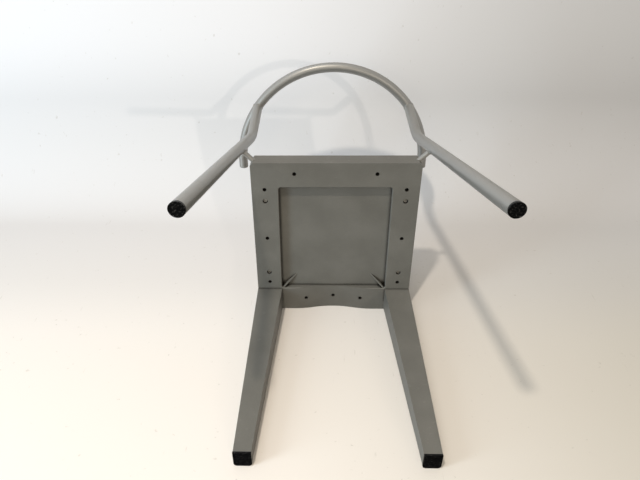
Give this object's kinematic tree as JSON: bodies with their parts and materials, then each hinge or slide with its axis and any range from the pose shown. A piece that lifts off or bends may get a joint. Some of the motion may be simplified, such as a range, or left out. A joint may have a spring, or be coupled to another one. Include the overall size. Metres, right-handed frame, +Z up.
{
  "type": "stacking chair",
  "caption": "Stacking chair with a moulded square seat and tapered front legs, bent-tube rear legs and a horseshoe tube that serves as back and arm rest.",
  "frame": {"origin": "centre of the chair's bounding box, on the floor", "axes": "+Z up, +Y towards the back of the chair, left (-X) and right (+X) as seen by someone who faces the chair; the plane x = 0 is the mirror plane"},
  "size_m": [0.475, 0.5116, 0.7296],
  "materials": {
    "seat_plastic": "fine satin grain, warm mid grey",
    "frame_steel": "satin silver-grey paint",
    "end_plug": "satin light grey",
    "foot_rubber": "matt black, slightly scuffed",
    "screw_zinc": "dull zinc plate"
  },
  "bodies": {
    "root": {"seat_upper_shell": "seat_plastic", "seat_lower_shell": "seat_plastic", "back_hoop": "frame_steel", "left_hoop_plug": "end_plug", "right_hoop_plug": "end_plug", "left_rear_leg": "frame_steel", "right_rear_leg": "frame_steel", "left_seat_bearer": "frame_steel", "right_seat_bearer": "frame_steel", "left_front_foot": "foot_rubber", "right_front_foot": "foot_rubber", "left_rear_foot": "foot_rubber", "right_rear_foot": "foot_rubber", "shell_screws": "screw_zinc", "bearer_screws": "screw_zinc"}
  },
  "joints": []
}
